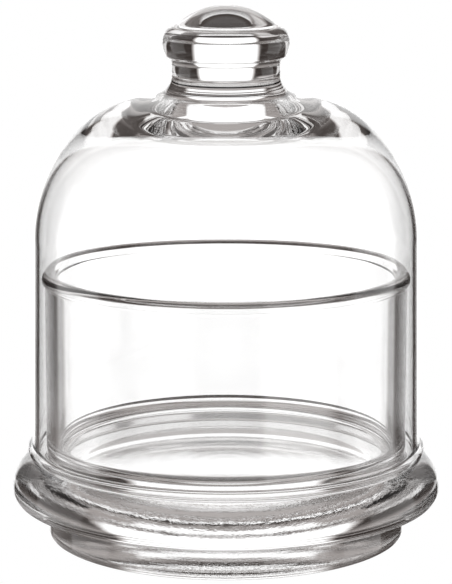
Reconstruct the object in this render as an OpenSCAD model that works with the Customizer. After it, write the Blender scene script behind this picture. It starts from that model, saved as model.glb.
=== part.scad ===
// Small covered glass dish: a pressed cup on a rounded foot flange, and a
// lift-off glass dome with its own knob. Millimetres, +Z up, the origin at
// the middle of the foot's resting face.

/* [Base dish] */
// Outer radius of the foot
foot_r = 42.5; // [40:0.5:44]
// Outer radius of the rounded flange, the widest part of the object
flange_r = 51; // [50:0.5:56]
// Height at which the flange is widest
flange_mid_z = 11.25; // [9:0.25:13]
// Radius of the flange's rounded shoulder
shoulder_r = 8.5; // [8:0.5:9.5]
// Height of the ledge that the dome rests on
seat_z = 19.2; // [17.5:0.1:20]
// Outer radius of the cup
cup_r = 42.8; // [42:0.1:43]
// Thickness of the cup's wall
cup_wall = 2.8; // [2:0.1:3.2]
// Height of the cup's rim above the table
cup_rim_z = 64.2; // [55:0.2:66]
// Height of the cup's floor above the table
cup_floor_z = 21.2; // [20:0.2:26]
// Radius of the round inside corner of the cup
cup_corner_r = 3; // [1:0.5:6]
// Radius of the hollow under the foot
hollow_r = 36; // [28:0.5:38]
// Depth of the hollow under the foot
hollow_depth = 2; // [1:0.25:6]

/* [Dome lid] */
// Outer radius of the dome's wall just above its rim bead
dome_low_r = 46.2; // [46:0.1:46.8]
// Outer radius of the dome's wall where the shoulder starts
dome_high_r = 45.5; // [45.2:0.1:46]
// Thickness of the dome's wall
dome_wall = 1.5; // [1.2:0.1:1.6]
// Height at which the dome's shoulder starts
dome_shoulder_z = 70.3; // [66:0.5:76]
// Height of the dome's crown, under the knob
dome_top_z = 104.9; // [98:0.5:106]
// Thickness of the glass at the crown, which is thick because the knob grows out of it
crown_wall = 5.6; // [4.5:0.1:7]
// Radius of the flat part of the crown's inside
crown_flat_r = 20; // [14:0.5:22]

/* [Knob] */
// Radius of the knob's neck
neck_r = 12.7; // [12:0.1:13]
// Height at which the crown's flare reaches the neck
neck_z = 109.6; // [109:0.1:110.4]
// Largest radius of the knob
knob_r = 14.9; // [14.8:0.1:15.4]
// Height at which the knob is widest
knob_mid_z = 117.3; // [117:0.1:118]
// Overall height, at the top of the knob
knob_top_z = 125.9; // [125.6:0.1:126.6]

/* [Hidden] */
glass = [0.86, 0.9, 0.9, 0.35];

// Gap between the dome's rim and the ledge, so that the two rest without fusing
seat_gap = 0.15;

// Base dish
foot_edge_r = 1;
foot_fillet_r = 0.8;
flange_edge_r = 2.6;
flange_under_z = flange_mid_z - flange_edge_r;
shoulder_end = asin((seat_z - flange_mid_z) / shoulder_r);
cup_fillet_r = 0.6;
cup_in_r = cup_r - cup_wall;
// The rim bead is round and stands a little proud of the cup's outside
bead_proud = 0.7;
bead_r = (cup_wall + bead_proud) / 2;
bead_c_r = cup_in_r + bead_r;
bead_c_z = cup_rim_z - bead_r;
bead_start = -acos((cup_r - bead_c_r) / bead_r);
// The hollow under the foot is a shallow spherical bowl
hollow_sphere_r = (hollow_r * hollow_r + hollow_depth * hollow_depth) / (2 * hollow_depth);
hollow_end = asin((hollow_sphere_r - hollow_depth) / hollow_sphere_r);

// Dome lid
rim_z = seat_z + seat_gap;
rim_bead_r = 1.4;
rim_bead_c_r = dome_low_r - 0.35;
rim_bead_c_z = rim_z + rim_bead_r;
rim_bead_end = acos((dome_low_r - rim_bead_c_r) / rim_bead_r);
// The outside and the inside of the shoulder are ellipses that start at the same height,
// the outer about this radius and the inner about the edge of the flat
crown_r = 16;
dome_high_in_r = dome_high_r - dome_wall;
dome_in_top_z = dome_top_z - crown_wall;

// Knob: the crown flares into a straight neck, a fillet and a lip lead out under a round
// band, and the band turns in over a tighter lobe to a crease under the domed cap
flare_r = neck_z - dome_top_z;
flare_start = acos((neck_r + flare_r - crown_r) / (dome_high_r - crown_r));
band_r = 7.5;
band_c_r = knob_r - band_r;
band_end = 23;
lip_r = 0.8;
lip_c_r = band_c_r + (band_r - lip_r) * cos(band_end);
lip_c_z = knob_mid_z - (band_r - lip_r) * sin(band_end);
fillet_r = 2.5;
lip_end = acos((neck_r + fillet_r - lip_c_r) / (lip_r + fillet_r));
fillet_c_z = lip_c_z - (lip_r + fillet_r) * sin(lip_end);
lobe_r = 4.2;
lobe_c_r = knob_r - lobe_r;
cap_r = 17;
cap_c_z = knob_top_z - cap_r;
// The cap's sphere and the lobe's circle meet in a shallow crease
cap_to_lobe = norm([lobe_c_r, knob_mid_z - cap_c_z]);
cap_start = atan2(knob_mid_z - cap_c_z, lobe_c_r)
            + acos((cap_r * cap_r + cap_to_lobe * cap_to_lobe - lobe_r * lobe_r)
                   / (2 * cap_r * cap_to_lobe));
crease = [cap_r * cos(cap_start), cap_c_z + cap_r * sin(cap_start)];
lobe_end = atan2(crease[1] - knob_mid_z, crease[0] - lobe_c_r);

// Points [radius, height] on an elliptical arc about (cr, cz)
function arc(cr, cz, rr, rz, start, end, steps) =
    [for (i = [0:steps])
        let (a = start + (end - start) * i / steps)
        [cr + rr * cos(a), cz + rz * sin(a)]];

// A round arc has equal radii
function round_arc(cr, cz, r, start, end, steps) = arc(cr, cz, r, r, start, end, steps);

// Cup, ledge, flange and foot, pressed in one piece
module base_dish() {
    color(glass)
        rotate_extrude($fn = 180)
            polygon(concat(
                round_arc(0, hollow_depth - hollow_sphere_r, hollow_sphere_r, 90, hollow_end, 10),
                round_arc(foot_r - foot_edge_r, foot_edge_r, foot_edge_r, -90, 0, 4),
                round_arc(foot_r + foot_fillet_r, flange_under_z - foot_fillet_r,
                          foot_fillet_r, 180, 90, 4),
                round_arc(flange_r - flange_edge_r, flange_mid_z, flange_edge_r, -90, 0, 6),
                round_arc(flange_r - shoulder_r, flange_mid_z, shoulder_r, 5, shoulder_end, 12),
                round_arc(cup_r + cup_fillet_r, seat_z + cup_fillet_r, cup_fillet_r, 270, 180, 4),
                round_arc(bead_c_r, bead_c_z, bead_r, bead_start, 180, 16),
                round_arc(cup_in_r - cup_corner_r, cup_floor_z + cup_corner_r,
                          cup_corner_r, 0, -90, 8),
                [[0, cup_floor_z]]
            ));
}

// Dome, rim bead and knob, one piece of glass
module dome_lid() {
    color(glass)
        rotate_extrude($fn = 180)
            polygon(concat(
                round_arc(rim_bead_c_r, rim_bead_c_z, rim_bead_r, -180, rim_bead_end, 16),
                arc(crown_r, dome_shoulder_z, dome_high_r - crown_r,
                    dome_top_z - dome_shoulder_z, 0, flare_start, 24),
                round_arc(neck_r + flare_r, neck_z, flare_r, 260, 180, 10),
                round_arc(neck_r + fillet_r, fillet_c_z, fillet_r, 180, 180 - lip_end, 6),
                round_arc(lip_c_r, lip_c_z, lip_r, -lip_end + 8, -band_end, 3),
                round_arc(band_c_r, knob_mid_z, band_r, -band_end + 5, 0, 4),
                round_arc(lobe_c_r, knob_mid_z, lobe_r, 8, lobe_end, 10),
                round_arc(0, cap_c_z, cap_r, cap_start, 90, 12),
                [[0, dome_in_top_z]],
                arc(crown_flat_r, dome_shoulder_z, dome_high_in_r - crown_flat_r,
                    dome_in_top_z - dome_shoulder_z, 90, 0, 24),
                [[dome_low_r - dome_wall, rim_bead_c_z + rim_bead_r]]
            ));
}

base_dish();
dome_lid();
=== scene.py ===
"""A clear glass cheese dome: a pressed dish and its lift-off lid, on a white table."""

import math

import bmesh
import bpy
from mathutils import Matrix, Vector


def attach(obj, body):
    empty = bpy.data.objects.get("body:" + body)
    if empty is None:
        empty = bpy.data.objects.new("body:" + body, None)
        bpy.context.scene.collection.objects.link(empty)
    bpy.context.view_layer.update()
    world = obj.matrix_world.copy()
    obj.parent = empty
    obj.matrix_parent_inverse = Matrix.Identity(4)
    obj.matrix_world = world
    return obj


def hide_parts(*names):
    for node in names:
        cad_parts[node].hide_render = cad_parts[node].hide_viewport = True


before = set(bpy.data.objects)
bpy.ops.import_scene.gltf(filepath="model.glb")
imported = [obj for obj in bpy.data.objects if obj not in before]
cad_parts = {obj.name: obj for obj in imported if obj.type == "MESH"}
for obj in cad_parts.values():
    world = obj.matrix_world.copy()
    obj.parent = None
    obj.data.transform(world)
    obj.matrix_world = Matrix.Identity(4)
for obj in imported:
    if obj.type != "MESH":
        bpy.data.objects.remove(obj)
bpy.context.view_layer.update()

# Camera: a long lens, a little above the object. Lengths are in metres, lens sizes in mm
CAMERA_DISTANCE = 0.650
CAMERA_ELEVATION = math.radians(11.39)
CAMERA_NEAR = 0.01
CAMERA_FAR = 20
AIM_HEIGHT = 0.0580
LENS = 169.3976
SENSOR = 36.0
TABLE_SIZE = 12.0

# A vertex this near the seam's plane is in it, and a point this near the axis is on it
SEAM_TOLERANCE = 1e-7
AXIS_TOLERANCE = 1e-6
# Seam vertices whose radius and height agree to this many decimals are one point
POINT_DECIMALS = 7

# Fineness of the glass: steps round the axis, and the longest step along the outline
TURN_STEPS = 256
CURVE_STEP = 0.0005
# Corners sharper than this are rounded off, because fire-polished glass has no sharp edge
CORNER_ANGLE = math.radians(24)
CORNER_RADIUS = 0.0004
# A rounded corner takes at most this share of the sides it joins, in steps of this turn
CORNER_SHARE = 0.4
CORNER_STEP = math.radians(6)
CORNER_MIN_STEPS = 3
# Keeps the finely turned glass inside the box of the CAD mesh, whose rings have flats
RADIUS_SCALE = 0.9996

# Finish of the glass, in metres; the noise scales are in features per metre
GLASS_INDEX = 1.5
WAVE_SCALE = 45
WAVE_DEPTH = 0.000012
GRIT_SCALE = 1500
GRIT_DEPTH = 0.000012
# The foot stands on a ground ring outside this radius, round a gritty hollow. Each finish
# ends at a height just above its own surface
FOOT_INNER_RADIUS = 0.0360
HOLLOW_TOP = 0.0023
RING_TOP = 0.0002
RING_ROUGHNESS = 0.2

# The studio round the glass, seen from the middle. Azimuth 0 is behind the object as the
# camera sees it, and turns towards +X. Each line: azimuth of the middle, half width, lowest
# and highest elevation, softness (all in degrees), brightness against the white backdrop
ALL_ROUND = 400
PANELS = (
    (0, ALL_ROUND, -100, 100, 4, 0.012),    # the dark room
    (0, 21, -22, 36, 5, 1.0),               # white backdrop behind the object
    (0, ALL_ROUND, 16, 100, 20, 0.27),      # grey upper walls
    (0, ALL_ROUND, 60, 100, 10, 0.8),       # overhead light
    (80, 19, -22, 20, 6, 0.8),              # soft boxes at the sides
    (-80, 19, -22, 20, 6, 0.8),
    (135, 22, -38, 8, 8, 0.8),              # and one at the front corner
    (-47, 21, -42, -16, 8, 0.6),            # pale sweep of the table on the left
    (0, ALL_ROUND, -68, -44, 12, 0.3),      # the table near the glass, and right under it
    (0, ALL_ROUND, -100, -74, 10, 0.7),
)
STUDIO_STRENGTH = 1.3
# The dark parts of the studio are slightly warm: brightness of a panel, and its colour
STUDIO_COLOURS = (
    (0.0, (0.018, 0.013, 0.011)),
    (0.27, (0.285, 0.262, 0.253)),
    (1.0, (1, 1, 1)),
)

# Light passes many glass surfaces before it leaves the object
GLASS_BOUNCES = 32
GLOSSY_BOUNCES = 16


# --- Outlines ---------------------------------------------------------------

def outline_of(node):
    """The node's outline in the half plane at +X, as points (radius, height) from axis to axis."""
    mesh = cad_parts[node].data
    on_seam = {}
    for v in mesh.vertices:
        if abs(v.co.y) < SEAM_TOLERANCE and v.co.x > -SEAM_TOLERANCE:
            point = (round(v.co.x, POINT_DECIMALS), round(v.co.z, POINT_DECIMALS))
            on_seam[v.index] = point
    beside = {}
    for edge in mesh.edges:
        a, b = (on_seam.get(i) for i in edge.vertices)
        if a is not None and b is not None and a != b:
            beside.setdefault(a, set()).add(b)
            beside.setdefault(b, set()).add(a)
    ends = sorted((p for p in beside if len(beside[p]) == 1), key=lambda p: p[1])
    path = [ends[0]]
    seen = set(path)
    while True:
        ahead = [p for p in beside[path[-1]] if p not in seen]
        if not ahead:
            break
        path.append(ahead[0])
        seen.add(ahead[0])
    if path[0][0] > AXIS_TOLERANCE:
        path.insert(0, (0.0, path[0][1]))
    if path[-1][0] > AXIS_TOLERANCE:
        path.append((0.0, path[-1][1]))
    return [Vector(p) for p in path]


def rounded(points):
    """The outline with a small curve in place of each sharp corner."""
    out = [points[0]]
    for before, corner, after in zip(points, points[1:], points[2:]):
        to_before = before - corner
        to_after = after - corner
        turn = math.pi - to_before.angle(to_after)
        if turn < CORNER_ANGLE:
            out.append(corner)
            continue
        reach = CORNER_RADIUS * math.tan(turn / 2)
        reach = min(reach, CORNER_SHARE * to_before.length, CORNER_SHARE * to_after.length)
        start = corner + to_before.normalized() * reach
        end = corner + to_after.normalized() * reach
        steps = max(CORNER_MIN_STEPS, round(turn / CORNER_STEP))
        for i in range(steps + 1):
            t = i / steps
            out.append(start * (1 - t) ** 2 + corner * 2 * t * (1 - t) + end * t ** 2)
    out.append(points[-1])
    return out


def smoothed(points):
    """The outline as a smooth curve through its points, in short steps."""
    sides = [b - a for a, b in zip(points, points[1:])]
    tangents = [Vector((1, 0)) if points[0].x < AXIS_TOLERANCE else sides[0].normalized()]
    for a, b in zip(sides, sides[1:]):
        # The longer side wins, so that a straight wall stays straight
        tangents.append((a * a.length_squared + b * b.length_squared).normalized())
    on_axis = points[-1].x < AXIS_TOLERANCE
    tangents.append(Vector((-1, 0)) if on_axis else sides[-1].normalized())
    out = [points[0]]
    for i, side in enumerate(sides):
        steps = max(1, math.ceil(side.length / CURVE_STEP))
        a = points[i]
        b = points[i + 1]
        slope_a = tangents[i] * side.length
        slope_b = tangents[i + 1] * side.length
        for k in range(1, steps + 1):
            t = k / steps
            out.append(a * (2 * t ** 3 - 3 * t ** 2 + 1) + slope_a * (t ** 3 - 2 * t ** 2 + t)
                       + b * (3 * t ** 2 - 2 * t ** 3) + slope_b * (t ** 3 - t ** 2))
    lowest = min(p.y for p in points)
    highest = max(p.y for p in points)
    for p in out:
        p.y = min(max(p.y, lowest), highest)
    out[0].x = 0.0
    out[-1].x = 0.0
    return out


def turned(name, points):
    """A closed solid of revolution from an outline that starts and ends on the axis."""
    mesh = bmesh.new()
    rings = []
    for p in points[1:-1]:
        radius = p.x * RADIUS_SCALE
        ring = []
        for k in range(TURN_STEPS):
            angle = 2 * math.pi * k / TURN_STEPS
            ring.append(mesh.verts.new((radius * math.cos(angle), radius * math.sin(angle), p.y)))
        rings.append(ring)
    first = mesh.verts.new((0, 0, points[0].y))
    last = mesh.verts.new((0, 0, points[-1].y))
    for k in range(TURN_STEPS):
        n = (k + 1) % TURN_STEPS
        mesh.faces.new((first, rings[0][n], rings[0][k]))
        mesh.faces.new((last, rings[-1][k], rings[-1][n]))
        for low, high in zip(rings, rings[1:]):
            mesh.faces.new((low[k], low[n], high[n], high[k]))
    bmesh.ops.recalc_face_normals(mesh, faces=mesh.faces)
    data = bpy.data.meshes.new(name)
    mesh.to_mesh(data)
    mesh.free()
    data.polygons.foreach_set("use_smooth", [True] * len(data.polygons))
    piece = bpy.data.objects.new(name, data)
    bpy.context.scene.collection.objects.link(piece)
    return piece


# --- Node helpers -----------------------------------------------------------

def new_node(tree, kind, inputs=(), **settings):
    """Adds a node. inputs is pairs of (socket, value or another node's output)."""
    node = tree.nodes.new(kind)
    for key, value in settings.items():
        setattr(node, key, value)
    for socket, value in inputs:
        if isinstance(value, bpy.types.NodeSocket):
            tree.links.new(value, node.inputs[socket])
        else:
            node.inputs[socket].default_value = value
    return node


def maths(tree, operation, *values):
    node = new_node(tree, "ShaderNodeMath", list(enumerate(values)), operation=operation)
    return node.outputs[0]


def split(tree, vector):
    """The three parts of a vector."""
    return new_node(tree, "ShaderNodeSeparateXYZ", [(0, vector)]).outputs


def length_across(tree, x, y):
    """The length of (x, y), which for a place is its distance from the axis."""
    return maths(tree, "SQRT", maths(tree, "ADD", maths(tree, "MULTIPLY", x, x),
                                     maths(tree, "MULTIPLY", y, y)))


def ramp(tree, value, stops):
    """A colour ramp over stops of (position, colour)."""
    node = new_node(tree, "ShaderNodeValToRGB", [("Fac", value)])
    elements = node.color_ramp.elements
    while len(elements) < len(stops):
        elements.new(0.5)
    for element, (position, colour) in zip(elements, stops):
        element.position = position
        element.color = (*colour, 1)
    return node.outputs["Color"]


# --- Glass ------------------------------------------------------------------

def noise(tree, place, scale, detail):
    node = new_node(tree, "ShaderNodeTexNoise", [
        ("Vector", place), ("Scale", scale), ("Detail", detail)])
    return node.outputs[0]


def clear_glass(name, foot):
    """Clear fire-polished glass, faintly wavy. With a foot, it is gritty and ground underneath."""
    material = bpy.data.materials.new(name)
    material.use_nodes = True
    tree = material.node_tree
    shader = tree.nodes["Principled BSDF"]
    shader.inputs["Base Color"].default_value = (1, 1, 1, 1)
    shader.inputs["IOR"].default_value = GLASS_INDEX
    shader.inputs["Transmission Weight"].default_value = 1.0
    shader.inputs["Roughness"].default_value = 0.0

    place = new_node(tree, "ShaderNodeTexCoord").outputs["Object"]
    lift = maths(tree, "MULTIPLY", noise(tree, place, WAVE_SCALE, 1.0), WAVE_DEPTH)
    if foot:
        x, y, height = split(tree, place)
        radius = length_across(tree, x, y)
        hollow = maths(tree, "MULTIPLY", maths(tree, "LESS_THAN", height, HOLLOW_TOP),
                       maths(tree, "LESS_THAN", radius, FOOT_INNER_RADIUS))
        grit = maths(tree, "MULTIPLY", noise(tree, place, GRIT_SCALE, 2.0), hollow)
        lift = maths(tree, "ADD", lift, maths(tree, "MULTIPLY", grit, GRIT_DEPTH))
        ring = maths(tree, "MULTIPLY", maths(tree, "LESS_THAN", height, RING_TOP),
                     maths(tree, "GREATER_THAN", radius, FOOT_INNER_RADIUS))
        roughness = maths(tree, "MULTIPLY", ring, RING_ROUGHNESS)
        tree.links.new(roughness, shader.inputs["Roughness"])
    bump = new_node(tree, "ShaderNodeBump", [("Strength", 1.0), ("Distance", 1.0), ("Height", lift)])
    tree.links.new(bump.outputs[0], shader.inputs["Normal"])
    return material


# --- Stage ------------------------------------------------------------------

def fade(tree, value, low, high, soft):
    """1 between low and high and 0 outside them. value is in radians, the rest in degrees."""
    sides = []
    for edge, sign in ((low, 1), (high, -1)):
        node = new_node(tree, "ShaderNodeMapRange", [
            ("Value", value),
            ("From Min", math.radians(edge - sign * soft / 2)),
            ("From Max", math.radians(edge + sign * soft / 2))], interpolation_type="SMOOTHSTEP")
        sides.append(node.outputs[0])
    return maths(tree, "MULTIPLY", *sides)


def build_world():
    """The studio as the glass sees it, light panels round a dark room; plain white to the camera."""
    world = bpy.data.worlds.new("studio")
    bpy.context.scene.world = world
    world.use_nodes = True
    tree = world.node_tree
    x, y, z = split(tree, new_node(tree, "ShaderNodeTexCoord").outputs["Generated"])
    level = length_across(tree, x, y)
    x = maths(tree, "DIVIDE", x, level)
    y = maths(tree, "DIVIDE", y, level)
    elevation = maths(tree, "ARCSINE", z)

    glow = new_node(tree, "ShaderNodeLightPath").outputs["Is Camera Ray"]
    for azimuth, half, low, high, soft, brightness in PANELS:
        middle = math.radians(azimuth)
        toward = maths(tree, "ADD", maths(tree, "MULTIPLY", x, math.sin(middle)),
                       maths(tree, "MULTIPLY", y, math.cos(middle)))
        turn = maths(tree, "ARCCOSINE", maths(tree, "MINIMUM", toward, 1.0))
        panel = maths(tree, "MULTIPLY", fade(tree, turn, -ALL_ROUND, half, soft),
                      fade(tree, elevation, low, high, soft))
        glow = maths(tree, "MAXIMUM", glow, maths(tree, "MULTIPLY", panel, brightness))
    background = tree.nodes["Background"]
    background.inputs["Strength"].default_value = STUDIO_STRENGTH
    tree.links.new(ramp(tree, glow, STUDIO_COLOURS), background.inputs["Color"])


def build_floor():
    """A white table that only the camera sees, so that the glass shows the studio instead."""
    half = TABLE_SIZE / 2
    corners = [(-half, -half, 0), (half, -half, 0), (half, half, 0), (-half, half, 0)]
    data = bpy.data.meshes.new("table")
    data.from_pydata(corners, [], [(0, 1, 2, 3)])
    floor = bpy.data.objects.new("table", data)
    bpy.context.scene.collection.objects.link(floor)
    material = bpy.data.materials.new("white_table")
    material.use_nodes = True
    tree = material.node_tree
    tree.nodes.remove(tree.nodes["Principled BSDF"])
    white = new_node(tree, "ShaderNodeEmission", [("Color", (1, 1, 1, 1)), ("Strength", 1.0)])
    tree.links.new(white.outputs[0], tree.nodes["Material Output"].inputs["Surface"])
    data.materials.append(material)
    floor.visible_transmission = False
    floor.visible_glossy = False


def build_camera():
    data = bpy.data.cameras.new("camera")
    camera = bpy.data.objects.new("camera", data)
    bpy.context.scene.collection.objects.link(camera)
    data.sensor_width = SENSOR
    data.lens = LENS
    data.clip_start = CAMERA_NEAR
    data.clip_end = CAMERA_FAR
    back = Vector((0, -math.cos(CAMERA_ELEVATION), math.sin(CAMERA_ELEVATION)))
    camera.location = Vector((0, 0, AIM_HEIGHT)) + back * CAMERA_DISTANCE
    camera.rotation_euler = (math.pi / 2 - CAMERA_ELEVATION, 0, 0)
    bpy.context.scene.camera = camera


# --- The object -------------------------------------------------------------

# Each piece: its name, the CAD node it stands for, its body, its material slot, has it a foot
PIECES = (
    ("dish", "base_dish", "base", "dish_glass", True),
    ("dome", "dome_lid", "dome", "dome_glass", False),
)
for name, node, body, slot, foot in PIECES:
    piece = turned(name, smoothed(rounded(outline_of(node))))
    piece.data.materials.append(clear_glass(slot, foot))
    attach(piece, body)
    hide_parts(node)

build_world()
build_floor()
build_camera()
scene = bpy.context.scene
scene.cycles.max_bounces = GLASS_BOUNCES
scene.cycles.transmission_bounces = GLASS_BOUNCES
scene.cycles.glossy_bounces = GLOSSY_BOUNCES
scene.view_settings.view_transform = "Standard"
